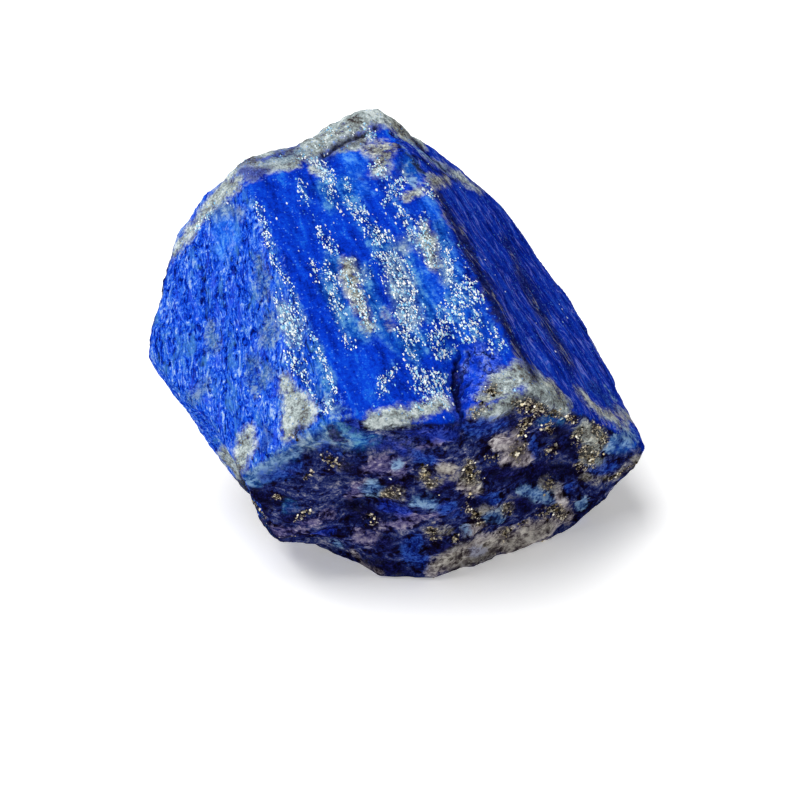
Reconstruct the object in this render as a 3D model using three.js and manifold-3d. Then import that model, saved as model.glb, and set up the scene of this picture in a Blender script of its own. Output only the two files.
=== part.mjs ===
// A lump of rough lapis lazuli: one broken piece of blue rock, wider than it is deep, resting on a
// small flat spot. Millimetres, +Z up, the dark front break towards -Y.
//
// The stone is star-shaped: from its heart every direction meets the surface once. The flat breaks and
// hollow bites that bound the stone set how far away that is, and ribs, ledges, grooves and rims are
// then laid over them.
import * as THREE from "three";
import { ImprovedNoise } from "three/addons/math/ImprovedNoise.js";
import { mergeVertices } from "three/addons/utils/BufferGeometryUtils.js";
import Module from "manifold-3d";

// Driving dimensions.
const heart = new THREE.Vector3(0, 2, 22);
const edgeCrispness = 60; // the higher, the sharper the worn edges between the breaks
const startingDetail = 17; // rows of triangles along each side of the starting icosahedron
const chordTolerance = 0.17; // how far the mesh may stray from the surface
const shortestEdge = 1;
const lumps = { size: 11, height: 0.6 }; // the unevenness of the whole stone
const fineRibs = 0.4; // ribs of half the size, as a share of the height of the large ones
const ledgeWaviness = 1.5; // how far a ledge's edge wanders, in ledge spacings
const ledgeDrop = 0.2; // the share of a ledge's width that it takes to drop back
const mergeDistance = 1e-4; // mesh corners nearer to each other than this are one

// How a break came away: ribs run along its grain, and ledges step across them. The grain is a turn,
// anticlockwise from +X as seen from above, and a rise from level, in degrees.
const textures = {
  grained: {
    grain: [-66, -22],
    ribs: { length: 22, width: 3.2, height: 0.4 },
    ledges: { spacing: 9, height: 0.3 },
  },
  fibrous: {
    grain: [-82, -41],
    ribs: { length: 16, width: 2.8, height: 0.5 },
    ledges: { spacing: 11, height: 0.4 },
  },
  folded: {
    grain: [-49, -32],
    ribs: { length: 12, width: 3, height: 0.4 },
    ledges: { spacing: 7, height: 0.4 },
  },
  layered: {
    grain: [4, 3],
    ribs: { length: 9, width: 4, height: 0.6 },
    ledges: { spacing: 5.5, height: 0.9 },
  },
  crumbly: {
    grain: [20, 10],
    ribs: { length: 6, width: 5, height: 0.7 },
    ledges: { spacing: 8, height: 0.5 },
  },
};

// The flat breaks that bound the stone, each with its distance from the heart.
const breaks = [
  { name: "roof", turn: -81, rise: 64, reach: 19, texture: textures.grained },
  { name: "cap", turn: -77, rise: 70, reach: 20.6, texture: textures.crumbly },
  { name: "shoulder", turn: 6, rise: 46, reach: 21.7, texture: textures.folded },
  { name: "shaded flank", turn: 2, rise: 41, reach: 19.6, texture: textures.folded },
  { name: "grained flank", turn: -137, rise: 36, reach: 23.6, texture: textures.fibrous },
  { name: "front break", turn: -91, rise: -14, reach: 22.6, texture: textures.layered },
  { name: "right break", turn: -58, rise: -14, reach: 22.8, texture: textures.layered },
  { name: "left rim", turn: -159, rise: 38, reach: 30.2, texture: textures.crumbly },
  { name: "back left", turn: 163, rise: 0, reach: 33.9, texture: textures.layered },
  { name: "back top left", turn: 129, rise: 34, reach: 34.9, texture: textures.crumbly },
  { name: "back slope", turn: 88, rise: 25, reach: 34.5, texture: textures.grained },
  { name: "back right", turn: 41, rise: 3, reach: 33.5, texture: textures.layered },
  { name: "far right", turn: 7, rise: -2, reach: 34.1, texture: textures.crumbly },
  { name: "under left", turn: -156, rise: -25, reach: 27.3, texture: textures.layered },
  { name: "under right", turn: -15, rise: -37, reach: 35, texture: textures.layered },
  { name: "front left chip", turn: -122, rise: -32, reach: 27.6, texture: textures.layered },
  { name: "toe", turn: -88, rise: -50, reach: 28, texture: textures.layered },
  { name: "under back", turn: 90, rise: -36, reach: 27, texture: textures.crumbly },
  { name: "under back left", turn: 141, rise: -34, reach: 24, texture: textures.crumbly },
  { name: "under back right", turn: 38, rise: -31, reach: 29.5, texture: textures.crumbly },
  { name: "left heel", turn: 190, rise: -62, reach: 25, texture: textures.crumbly },
  { name: "right heel", turn: -8, rise: -60, reach: 32, texture: textures.crumbly },
  { name: "back heel", turn: 95, rise: -62, reach: 24, texture: textures.crumbly },
];

// Shallow hollows where a flake sprang off: the depth at the middle, and the radius of the hollow.
const bites = [
  { name: "left bite", turn: -153, rise: -18, depth: 2.2, radius: 26 },
  { name: "toe bite", turn: -118, rise: -43, depth: 3.6, radius: 11 },
  { name: "saddle bite", turn: 128, rise: 50, depth: 0.7, radius: 18 },
  { name: "dark hollow", turn: -100, rise: -17, depth: 1, radius: 12 },
  { name: "right hollow", turn: -37, rise: -12, depth: 0.9, radius: 9 },
  { name: "back bowl", turn: 100, rise: 15, depth: 2.2, radius: 26 },
  { name: "back chip", turn: 60, rise: -12, depth: 1.6, radius: 13 },
  { name: "left back chip", turn: 150, rise: 18, depth: 1.6, radius: 15 },
];

// Lines that run over the surface, each through a row of directions from the heart. A height below
// zero is a groove.
const lines = [
  {
    name: "fissure",
    height: -1.7,
    width: 1.3,
    through: [[-65, 40], [-66, 33], [-70, 27], [-70, 22], [-72, 17]],
  },
  { name: "fissure branch", height: -0.8, width: 1, through: [[-62, 37], [-63, 30], [-67, 25]] },
  {
    name: "cap seam",
    height: -0.7,
    width: 1.1,
    through: [[146, 54], [142, 57], [129, 59], [116, 58], [99, 57], [90, 53]],
  },
  { name: "neck groove", height: -0.8, width: 2, through: [[98, 55], [82, 46], [68, 36]] },
  { name: "cap patch", height: 0.5, width: 2.5, through: [[95, 62], [86, 62], [78, 58]] },
  { name: "cap step", height: -0.6, width: 1.2, through: [[112, 68], [101, 69], [90, 67], [79, 61]] },
  { name: "matrix rim", height: 0.7, width: 2, through: [[-62, 21], [-54, 20], [-47, 16], [-37, 9]] },
  { name: "right rim", height: 0.7, width: 1.8, through: [[-5, -16], [-8, -24], [-15, -28], [-21, -31]] },
  { name: "under rim", height: -0.8, width: 1.8, through: [[-2, -27], [-9, -31], [-18, -34]] },
  { name: "band ledge", height: -0.7, width: 1.4, through: [[-120, 6], [-109, 9], [-98, 10], [-84, 9]] },
];

const noise = new ImprovedNoise();
const toRadians = THREE.MathUtils.degToRad;

function directionOf(turn, rise) {
  const level = Math.cos(toRadians(rise));
  return new THREE.Vector3(
    level * Math.cos(toRadians(turn)),
    level * Math.sin(toRadians(turn)),
    Math.sin(toRadians(rise)),
  );
}

for (const face of breaks) {
  face.normal = directionOf(face.turn, face.rise);
  face.across = directionOf(...face.texture.grain).cross(face.normal).normalize();
  face.along = face.normal.clone().cross(face.across);
}

// The distance to the nearest of several surfaces along one ray, worn a little where they meet. The
// closeness of a surface is one over its distance.
function nearest(closeness) {
  const sum = closeness.reduce((total, near) => total + near ** edgeCrispness, 0);
  return sum ** (-1 / edgeCrispness);
}

function flatCloseness(direction) {
  return breaks.map((face) => Math.max(face.normal.dot(direction), 0) / face.reach);
}

for (const bite of bites) {
  const middle = directionOf(bite.turn, bite.rise);
  bite.centre = middle.multiplyScalar(nearest(flatCloseness(middle)) - bite.depth + bite.radius);
}

function biteCloseness({ centre, radius }, direction) {
  const abeam = centre.dot(direction);
  const reachSquared = abeam ** 2 - centre.lengthSq() + radius ** 2;
  return reachSquared > 0 && abeam > 0 ? 1 / (abeam - Math.sqrt(reachSquared)) : 0;
}

// A ledge rises over most of its width, then drops back sharply.
function ledgeProfile(position) {
  const part = position - Math.floor(position);
  return Math.min(part / (1 - ledgeDrop), (1 - part) / ledgeDrop) - 0.5;
}

function textureHeight({ along, across, normal, texture }, point) {
  const { ribs, ledges } = texture;
  const a = point.dot(along) / ribs.length;
  const c = point.dot(across) / ribs.width;
  const n = point.dot(normal) / ribs.width;
  const rib = noise.noise(a, c, n) + fineRibs * noise.noise(2 * a, 2 * c, 2 * n);
  const waviness = ledgeWaviness * noise.noise(a, c / 3, n / 3);
  const ledge = ledgeProfile(point.dot(across) / ledges.spacing + waviness);
  return ribs.height * rib + ledges.height * ledge;
}

function distanceToLine(corners, point) {
  const nearestOnPiece = new THREE.Vector3();
  let distance = Infinity;
  for (let i = 1; i < corners.length; i++) {
    new THREE.Line3(corners[i - 1], corners[i]).closestPointToPoint(point, true, nearestOnPiece);
    distance = Math.min(distance, nearestOnPiece.distanceTo(point));
  }
  return distance;
}

function brokenPoint(direction) {
  const closeness = [...flatCloseness(direction), ...bites.map((bite) => biteCloseness(bite, direction))];
  return heart.clone().addScaledVector(direction, nearest(closeness));
}

for (const line of lines) {
  line.corners = line.through.map((pair) => brokenPoint(directionOf(...pair)));
}

function surfacePoint(direction) {
  const point = brokenPoint(direction);
  const shares = flatCloseness(direction).map((near) => near ** edgeCrispness);
  const whole = shares.reduce((total, share) => total + share, 0);
  const lump = point.clone().divideScalar(lumps.size);
  let height = lumps.height * noise.noise(lump.x, lump.y, lump.z);
  breaks.forEach((face, i) => {
    height += (shares[i] / whole) * textureHeight(face, point);
  });
  for (const line of lines) {
    height += line.height * Math.exp(-((distanceToLine(line.corners, point) / line.width) ** 2));
  }
  return point.addScaledVector(direction, height);
}

// Splits every edge whose middle strays from the surface, until the mesh follows it.
function followSurface(directions, faces) {
  const points = directions.map(surfacePoint);
  const rounds = 3;
  for (let round = 0; round < rounds; round++) {
    const middles = new Map();
    const middleOf = (a, b) => {
      const key = a < b ? `${a},${b}` : `${b},${a}`;
      if (middles.has(key)) return middles.get(key);
      const direction = directions[a].clone().add(directions[b]).normalize();
      const point = surfacePoint(direction);
      const strays = point.distanceTo(points[a].clone().lerp(points[b], 0.5)) > chordTolerance;
      const longEnough = points[a].distanceTo(points[b]) > 2 * shortestEdge;
      let middle = null;
      if (strays && longEnough) {
        middle = directions.push(direction) - 1;
        points.push(point);
      }
      middles.set(key, middle);
      return middle;
    };
    faces = faces.flatMap(([a, b, c]) => {
      return splitFace([a, b, c], [middleOf(a, b), middleOf(b, c), middleOf(c, a)]);
    });
  }
  return { points, faces };
}

function splitFace(corners, middles) {
  const count = middles.filter((middle) => middle !== null).length;
  if (count === 0) return [corners];
  // Turn the face until its first edge is split and, where two are, its last edge isn't.
  let [a, b, c] = corners;
  let [ab, bc, ca] = middles;
  while (ab === null || (count === 2 && ca !== null)) {
    [a, b, c] = [b, c, a];
    [ab, bc, ca] = [bc, ca, ab];
  }
  if (count === 1) return [[a, ab, c], [ab, b, c]];
  if (count === 2) return [[ab, b, bc], [a, ab, bc], [a, bc, c]];
  return [[a, ab, ca], [ab, b, bc], [ca, bc, c], [ab, bc, ca]];
}

function stoneGeometry() {
  const ball = new THREE.IcosahedronGeometry(1, startingDetail - 1);
  ball.deleteAttribute("normal");
  ball.deleteAttribute("uv");
  const { attributes, index } = mergeVertices(ball, mergeDistance);
  const directions = [];
  for (let i = 0; i < attributes.position.count; i++) {
    directions.push(new THREE.Vector3().fromBufferAttribute(attributes.position, i).normalize());
  }
  const startingFaces = [];
  for (let i = 0; i < index.count; i += 3) {
    startingFaces.push([index.getX(i), index.getX(i + 1), index.getX(i + 2)]);
  }
  const { points, faces } = followSurface(directions, startingFaces);
  const geometry = new THREE.BufferGeometry().setFromPoints(points);
  geometry.setIndex(faces.flat());
  return geometry;
}

const wasm = await Module();
wasm.setup();

function toManifold(geometry) {
  const merged = mergeVertices(geometry, mergeDistance);
  return new wasm.Manifold(
    new wasm.Mesh({
      numProp: 3,
      vertProperties: merged.attributes.position.array,
      triVerts: new Uint32Array(merged.index.array),
    }),
  );
}

function toGeometry(manifold) {
  const { vertProperties, triVerts } = manifold.getMesh();
  return new THREE.BufferGeometry()
    .setAttribute("position", new THREE.BufferAttribute(vertProperties, 3))
    .setIndex(new THREE.BufferAttribute(triVerts, 1));
}

// Everything below the resting plane is cut off, which leaves the flat spot.
function groundBlock() {
  const side = 200;
  const block = new THREE.BoxGeometry(side, side, side).translate(0, 0, -side / 2);
  block.deleteAttribute("normal");
  block.deleteAttribute("uv");
  return block;
}

// The middle of the stone's outline, seen from above, goes to the origin.
function centred(geometry) {
  geometry.computeBoundingBox();
  const middle = geometry.boundingBox.getCenter(new THREE.Vector3());
  return geometry.translate(-middle.x, -middle.y, 0);
}

const stone = new THREE.Mesh(
  centred(toGeometry(toManifold(stoneGeometry()).subtract(toManifold(groundBlock())))),
  new THREE.MeshStandardMaterial({ color: 0x1c47b8, roughness: 0.55, metalness: 0 }),
);
stone.name = "lapis_stone";

const group = new THREE.Group();
group.add(stone);

export default group;
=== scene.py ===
from math import cos, pi, radians, sin

import bmesh
import bpy
import numpy as np
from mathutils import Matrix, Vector, noise
from mathutils.bvhtree import BVHTree


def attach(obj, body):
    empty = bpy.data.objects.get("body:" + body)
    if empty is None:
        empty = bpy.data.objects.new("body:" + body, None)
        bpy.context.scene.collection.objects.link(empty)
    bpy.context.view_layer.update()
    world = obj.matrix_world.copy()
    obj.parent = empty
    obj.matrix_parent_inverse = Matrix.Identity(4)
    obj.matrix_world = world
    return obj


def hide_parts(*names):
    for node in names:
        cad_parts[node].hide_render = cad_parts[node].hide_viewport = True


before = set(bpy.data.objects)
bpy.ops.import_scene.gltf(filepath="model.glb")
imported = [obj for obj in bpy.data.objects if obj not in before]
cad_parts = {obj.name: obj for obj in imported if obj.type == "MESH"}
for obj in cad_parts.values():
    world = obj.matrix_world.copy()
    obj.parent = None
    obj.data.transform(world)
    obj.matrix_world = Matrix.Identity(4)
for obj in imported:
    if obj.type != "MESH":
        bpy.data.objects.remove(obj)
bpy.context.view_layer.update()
mm = 0.001  # shapes are worked out in millimetres and written to the meshes in metres


def feed(tree, node, inputs):
    # each input takes a link or a plain value
    for socket, value in inputs.items():
        if isinstance(value, bpy.types.NodeSocket):
            tree.links.new(value, node.inputs[socket])
        else:
            node.inputs[socket].default_value = value


# Camera and light

view = {
    "target": (0.25, -7.0, 19.4),  # mm
    "distance": 311,
    "angle above level": 32,
    "lens": 100,
    "sensor": 36,
    "nearest": 10,  # mm, and nothing nearer is drawn
    "picture": 800,  # pixels to a side
}

studio = {
    "floor side": 3000,
    "floor": {
        "Base Color": (0.97, 0.97, 0.97, 1),
        "Roughness": 0.9,
        "Specular IOR Level": 0.1,
        "Emission Color": (1, 1, 1, 1),
        "Emission Strength": 0.35,  # lit from below, as on a light table
    },
    "room": {"Color": (1, 1, 1, 1), "Strength": 0.15},
    "lit place": (0, 0, 25),
    # place, size and watts of each softbox, which all face the lit place
    "softboxes": {
        "key": ((-440, -40, 1240), (1000, 1000), 20.5),
        "front": ((-60, -640, 200), (420, 240), 0.12),
    },
}


def aimAt(thing, target):
    towards = Vector(target) * mm - thing.location
    thing.rotation_euler = towards.to_track_quat("-Z", "Y").to_euler()


def addToScene(name, data):
    thing = bpy.data.objects.new(name, data)
    bpy.context.scene.collection.objects.link(thing)
    return thing


def makeCamera():
    camera = addToScene("camera", bpy.data.cameras.new("camera"))
    camera.data.lens = view["lens"]
    camera.data.sensor_width = view["sensor"]
    camera.data.clip_start = view["nearest"] * mm
    angle = radians(view["angle above level"])
    back = Vector((0, -cos(angle), sin(angle))) * view["distance"]
    camera.location = (Vector(view["target"]) + back) * mm
    aimAt(camera, view["target"])
    bpy.context.scene.camera = camera


def makeStudio():
    for name, (place, size, watts) in studio["softboxes"].items():
        light = bpy.data.lights.new(name, "AREA")
        light.shape = "RECTANGLE"
        light.size, light.size_y = (side * mm for side in size)
        light.energy = watts
        lamp = addToScene(name, light)
        lamp.location = Vector(place) * mm
        aimAt(lamp, studio["lit place"])
    world = bpy.data.worlds.new("room")
    world.use_nodes = True
    feed(world.node_tree, world.node_tree.nodes["Background"], studio["room"])
    bpy.context.scene.world = world
    half = studio["floor side"] * mm / 2
    corners = [(-half, -half, 0), (half, -half, 0), (half, half, 0), (-half, half, 0)]
    mesh = bpy.data.meshes.new("floor")
    mesh.from_pydata(corners, [], [(0, 1, 2, 3)])
    paper = bpy.data.materials.new("pale paper")
    paper.use_nodes = True
    feed(paper.node_tree, paper.node_tree.nodes["Principled BSDF"], studio["floor"])
    mesh.materials.append(paper)
    floor = addToScene("floor", mesh)
    bpy.context.scene.view_settings.view_transform = "Standard"


makeCamera()
makeStudio()
print("camera and light are set")


# Places on the stone

heart = np.array((0.25, -5.0, 22.0))  # every direction from here meets the surface once

# The flat breaks of the stone: turn, rise and reach from the heart, and how each came away.
breaks = [
    (-81, 64, 19, "banded"),  # roof
    (-77, 70, 20.6, "banded"),  # cap
    (6, 46, 21.7, "folded"),  # shoulder
    (2, 41, 19.6, "folded"),  # shaded flank
    (-137, 36, 23.6, "fibrous"),  # grained flank
    (-91, -14, 22.6, "layered"),  # front break
    (-58, -14, 22.8, "layered"),  # right break
    (-159, 38, 30.2, "fibrous"),  # left rim
    (163, 0, 33.9, "layered"),  # back left
    (129, 34, 34.9, "fibrous"),  # back top left
    (88, 25, 34.5, "banded"),  # back slope
    (41, 3, 33.5, "folded"),  # back right
    (7, -2, 34.1, "folded"),  # far right
    (-156, -25, 27.3, "fibrous"),  # under left
    (-15, -37, 35, "layered"),  # under right
    (-122, -32, 27.6, "layered"),  # front left chip
    (-88, -50, 28, "layered"),  # toe
    (90, -36, 27, "layered"),  # under back
    (141, -34, 24, "layered"),  # under back left
    (38, -31, 29.5, "layered"),  # under back right
    (190, -62, 25, "layered"),  # left heel
    (-8, -60, 32, "layered"),  # right heel
    (95, -62, 24, "layered"),  # back heel
]

# The grain of each kind of break: a turn from +X, seen from above, and a rise from level.
grains = {"banded": (-66, -22), "fibrous": (-82, -41), "folded": (-49, -32), "layered": (4, 3)}

# Patches on the sides that the camera sees. Each runs through a row of places in its picture:
# pixels across, pixels down, and how many pixels the patch reaches to all sides.
seen = {
    "rock": {
        "cap": [
            (262, 162, 6), (285, 156, 10), (310, 149, 14), (330, 136, 13), (350, 124, 13), (370, 119, 10),
            (390, 122, 8), (405, 132, 5), (418, 144, 4),
        ],
        "tan patch": [(370, 150, 6), (386, 150, 9), (382, 165, 10), (378, 173, 5)],
        "shoulder light": [(408, 196, 4), (420, 190, 5)],
        "shoulder end": [(432, 181, 6), (446, 180, 5)],
        "shoulder streaks": [(425, 156, 3.5), (440, 166, 4.5), (460, 178, 4.5), (478, 190, 4)],
        "eye": [(347, 264, 7), (350, 282, 8), (357, 296, 7), (363, 314, 5), (368, 328, 5)],
        "pale patch": [(426, 226, 5), (428, 240, 8), (432, 255, 6), (436, 268, 4)],
        "left wedge": [(285, 380, 6), (290, 396, 11), (304, 410, 13), (290, 422, 11), (288, 434, 7)],
        "left corner": [(248, 430, 6), (243, 448, 10), (239, 466, 9), (238, 480, 6)],
        "lower band": [
            (374, 420, 9), (388, 418, 11), (404, 415, 9), (420, 410, 8), (436, 406, 8), (446, 404, 5),
        ],
        "matrix": [(484, 398, 9), (502, 386, 14), (521, 374, 14), (545, 390, 14), (564, 405, 9)],
        "matrix foot": [(477, 413, 7), (496, 408, 11), (516, 398, 9)],
        "flank streak": [(577, 388, 3), (590, 402, 4), (604, 414, 5), (618, 424, 5)],
        "corner edge": [(615, 408, 3), (628, 416, 4), (636, 424, 4)],
        "gold field": [(582, 430, 7), (596, 440, 11), (590, 456, 9), (600, 464, 5)],
        "cap foot": [(313, 169, 3), (323, 173, 3.5)],
        "left rim": [
            (239, 178, 7), (229, 186, 10), (217, 198, 9), (207, 211, 7), (196, 224, 6.5), (185, 238, 6),
            (174, 254, 5.5),
        ],
    },
    "ashen": {
        "block": [(497, 441, 7), (512, 446, 10), (528, 459, 8), (506, 459, 7)],
        "block neck": [(514, 433, 4)],
        "pink": [(437, 466, 4), (450, 472, 6)],
        "brown": [(464, 486, 6), (476, 492, 5)],
        "foot lumps": [(525, 529, 7), (545, 522, 6)],
        "foot": [(464, 531, 5), (480, 526, 4)],
        "gaps": [(560, 496, 4), (569, 519, 5)],
        "toe rim": [(352, 552, 3), (366, 565, 3), (380, 573, 3)],
        "bottom": [
            (436, 568, 9), (456, 558, 15), (480, 549, 14), (506, 543, 14), (532, 534, 13), (554, 524, 8),
        ],
    },
    "mauve": {
        "wide": [(366, 468, 6), (378, 466, 10), (392, 462, 8), (401, 470, 7)],
        "second": [(352, 494, 5), (360, 488, 6)],
        "streak": [(385, 527, 4), (400, 522, 6), (418, 517, 5), (434, 514, 4)],
        "heel rim": [(262, 524, 4), (274, 531, 5), (290, 532, 5)],
        "lavender": [(305, 526, 6), (316, 522, 4)],
        "small": [(328, 514, 5)],
        "low": [(358, 534, 5), (372, 538, 5)],
        "upper streak": [(420, 446, 3), (436, 442, 3)],
    },
    "pale": {
        "lump": [(420, 500, 7), (431, 504, 7)],
        "middle": [(368, 490, 6), (377, 488, 6)],
        "violet": [(396, 464, 5)],
        "blue lumps": [(524, 490, 7), (538, 494, 8), (548, 499, 5)],
        "low lump": [(488, 516, 5), (500, 517, 7)],
        "foot": [(464, 530, 5)],
        "lower corner": [(582, 503, 7)],
        "front streak": [(298, 448, 4), (280, 456, 6), (262, 470, 5), (248, 480, 4)],
        "grey": [(340, 543, 5)],
        "hook": [(328, 402, 4), (337, 411, 7), (345, 412, 5)],
        "flank": [(606, 386, 1.5), (614, 398, 2)],
        "corner": [(612, 447, 8), (621, 441, 10), (632, 437, 8)],
        "shoulder strand": [(397, 138, 1.5), (409, 157, 2), (428, 177, 1.5)],
        "second shoulder strand": [(406, 137, 1.5), (424, 155, 2.5), (448, 171, 2)],
        "shoulder patch": [(405, 166, 2), (409, 176, 3.5), (411, 184, 3)],
    },
    "teal": {
        "front top": [(312, 436, 7), (328, 430, 8), (345, 436, 8), (360, 442, 8), (372, 440, 5)],
        "front left": [(250, 480, 6), (268, 470, 7), (290, 455, 7)],
        "pocket top": [(545, 421, 4), (560, 420, 4)],
        "dark lump": [(290, 506, 5)],
        "left of the eye": [(334, 262, 6), (330, 285, 8), (338, 305, 8), (348, 322, 8), (360, 336, 8)],
        "right of the eye": [(362, 266, 5), (370, 285, 6), (375, 305, 7), (382, 325, 8), (392, 337, 7)],
        "upper": [(322, 188, 7), (332, 205, 6)],
        "second upper": [(345, 185, 8), (352, 200, 7)],
        "middle": [(376, 240, 8), (390, 250, 8)],
        "right": [(408, 262, 6), (417, 285, 6), (425, 305, 6), (431, 318, 5)],
        "beside the pale patch": [(441, 226, 5), (445, 258, 5), (452, 285, 7), (458, 312, 7)],
        "shoulder": [(408, 162, 6), (414, 172, 7)],
        "low": [(400, 345, 8), (415, 352, 8), (422, 340, 7)],
        "under the ridge": [(316, 350, 3), (322, 372, 5), (328, 392, 5)],
    },
    "azure": {
        "cap wedge": [(345, 155, 7), (354, 162, 11), (350, 172, 8)],
        "top": [(338, 178, 8), (360, 190, 9)],
        "right": [(428, 205, 8), (434, 213, 6)],
        "beside the pale patch": [(424, 275, 6), (431, 295, 8), (436, 315, 6)],
        "flank light": [(218, 218, 9), (230, 235, 10), (222, 250, 8)],
        "corner": [(616, 445, 7), (628, 442, 9)],
        "glitter": [(448, 250, 8), (452, 282, 9), (462, 312, 10), (474, 332, 8)],
    },
    "haze": {
        "dense": [(392, 262, 7), (400, 284, 12), (404, 306, 12), (412, 320, 9)],
        "beside the pale patch": [(398, 250, 6), (411, 240, 7), (441, 262, 4), (446, 280, 5)],
        "flank top": [(210, 216, 6), (226, 209, 8), (238, 214, 5)],
        "left cluster": [(284, 305, 6), (290, 322, 9), (297, 338, 7)],
        "eye rim": [(354, 262, 5), (360, 276, 4)],
        "cap foot": [(318, 160, 5), (330, 152, 4)],
        "front top": [
            (262, 472, 6), (278, 460, 6), (294, 446, 6), (310, 440, 7), (328, 438, 7), (344, 442, 6),
        ],
    },
    "wrinkled": {
        "fan": [(474, 352, 7), (488, 360, 11), (492, 371, 9), (480, 387, 8), (472, 398, 4)],
        "beside the cleft": [(466, 356, 4), (466, 378, 4)],
    },
    "dusty": {
        "first": [(212, 328, 5), (214, 346, 6)],
        "third": [(257, 258, 5), (262, 276, 5), (262, 296, 5)],
        "cap left": [(264, 162, 4), (276, 159, 5), (290, 156, 6), (303, 152, 4)],
        "fourth": [(268, 318, 7), (268, 342, 7)],
        "fifth": [(252, 358, 6), (254, 388, 6), (268, 372, 7)],
        "low": [(206, 386, 6), (190, 400, 5)],
    },
    "dark": {
        "left spots": [(296, 438, 3.5), (301, 428, 2.5)],
        "second left spots": [(334, 434, 4), (343, 438, 4)],
        "left floor": [(252, 492, 6), (264, 504, 8), (262, 514, 5)],
        "left low": [(285, 520, 5), (300, 514, 4)],
        # painted shade in the cleft of the fissure
        "cleft": [(456, 370, 1.5), (455, 388, 1.5), (459, 406, 2)],
        "maroon": [(352, 506, 7), (364, 512, 10), (377, 516, 7)],
        "low maroon": [(368, 561, 5), (384, 565, 7), (400, 573, 5)],
        "small maroon": [(386, 540, 6)],
        "navy": [(340, 464, 5), (352, 469, 7)],
        "second navy": [(388, 482, 5), (403, 485, 6)],
        "beside the brown": [(436, 492, 5), (448, 486, 7)],
        "under the block": [(486, 470, 5), (504, 474, 7), (530, 474, 7), (556, 468, 7), (578, 470, 5)],
        "beside the crust": [(511, 415, 5), (514, 428, 4)],
        "pocket": [(542, 437, 5), (556, 430, 8), (566, 442, 9), (573, 452, 5)],
        "lump": [(470, 500, 6), (484, 504, 7)],
        "gaps": [(515, 502, 5), (526, 508, 6)],
        "foot gaps": [(444, 550, 4), (458, 544, 3.5), (470, 541, 3)],
        "foot edge": [(452, 570, 3), (476, 562, 2.5), (498, 553, 2.5)],
        "ridge": [
            (438, 194, 3.5), (452, 218, 4.5), (468, 248, 5.5), (480, 275, 6), (492, 300, 5), (506, 326, 4),
            (520, 352, 4), (535, 378, 4),
        ],
        "shoulder lines": [(392, 135, 1.5), (402, 152, 2), (424, 172, 2)],
        "second shoulder lines": [(404, 130, 1.5), (420, 148, 2), (446, 172, 1.5)],
        "third shoulder lines": [(414, 156, 1.5), (432, 168, 2), (456, 182, 1.5)],
    },
    "navy": {
        # painted shade in and beside the cleft of the fissure
        "cleft": [(455, 362, 3), (456, 385, 6), (458, 402, 7), (460, 418, 8)],
        "front middle": [(412, 434, 7), (430, 434, 8), (452, 430, 9)],
        "third": [(386, 506, 5), (403, 512, 6)],
        "top": [(378, 446, 5), (392, 446, 5), (405, 452, 5)],
        "low left": [(318, 534, 5), (330, 532, 5)],
        "under the hook": [(353, 426, 6)],
        "cap line": [(323, 156, 2), (338, 146, 2.5), (350, 140, 3), (364, 135, 3.5), (375, 128, 4)],
        # painted shadow under the step below the cap
        "roof step": [(360, 178, 1), (378, 179, 1.5), (396, 177, 2), (400, 186, 2)],
        "edge line": [(243, 171, 3.5), (254, 174, 3.5), (266, 168, 2)],
        "cap outline": [(240, 165, 2), (262, 159, 2.5), (285, 152, 2.5), (298, 146, 1.5)],
        "beside the tan patch": [(398, 146, 3), (402, 160, 3), (400, 172, 3)],
        "flank band": [(520, 280, 5), (540, 315, 7), (557, 345, 7), (572, 372, 5)],
    },
    "blue": {
        "under the matrix": [(470, 428, 7), (488, 426, 8), (503, 421, 7)],
        "front left": [(266, 476, 5), (282, 472, 7), (296, 468, 5)],
        "front upper": [(322, 448, 6), (338, 450, 5)],
        "right": [(420, 456, 7), (432, 460, 6)],
        "bottom": [(414, 540, 7), (410, 555, 7), (422, 562, 7)],
        "below": [(446, 505, 7), (456, 512, 5)],
        "deep lump": [(478, 499, 7), (494, 500, 7)],
        "pocket": [(562, 438, 5), (570, 445, 4)],
        "right low": [(596, 468, 6), (612, 466, 5)],
        "rim": [(570, 488, 5)],
        "left pocket": [(262, 425, 2), (268, 438, 3.5), (262, 450, 3)],
        "foot": [(476, 552, 7), (484, 551, 5)],
        "between": [(534, 442, 4), (536, 452, 4)],
        "flank end": [(590, 385, 5), (606, 400, 5), (616, 412, 4)],
    },
    "warm": {
        "tan patch": [(371, 149, 6), (386, 148, 8), (381, 160, 4)],
        "shoulder end": [(432, 182, 6), (446, 180, 5)],
        "shoulder light": [(409, 196, 4)],
        "eye core": [(346, 268, 4), (352, 285, 5), (358, 298, 4), (364, 318, 4)],
        "beside the eye": [(385, 312, 3), (392, 328, 3)],
        "pink": [(440, 468, 5), (452, 473, 5)],
        "brown": [(470, 466, 6), (469, 478, 7), (476, 490, 5)],
        "gold field": [(585, 432, 7), (598, 440, 8), (590, 455, 8)],
        "rim": [(637, 457, 2), (628, 468, 2.5), (614, 476, 3), (600, 480, 2.5), (582, 478, 2.5)],
        "bottom": [(438, 564, 7), (460, 556, 12), (490, 548, 12), (520, 540, 10), (548, 526, 6)],
        "matrix edge": [(548, 382, 4), (560, 395, 5)],
        "matrix foot": [(480, 408, 4), (492, 390, 4)],
        "corner": [(586, 398, 3), (600, 412, 4), (630, 419, 4)],
        "cap end": [(395, 125, 5), (406, 137, 3)],
        "golden": [(386, 493, 4), (398, 492, 5)],
        "second golden": [(424, 474, 5), (432, 482, 5)],
        "third golden": [(431, 532, 6), (443, 530, 6)],
        "vein": [(545, 484, 5), (556, 488, 4)],
        "low vein": [(470, 512, 3), (508, 510, 4)],
    },
    "sparkling": {
        "main": [
            (322, 168, 7), (336, 190, 9), (358, 216, 10), (380, 246, 12), (400, 280, 14), (410, 315, 13),
            (414, 346, 9),
        ],
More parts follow.
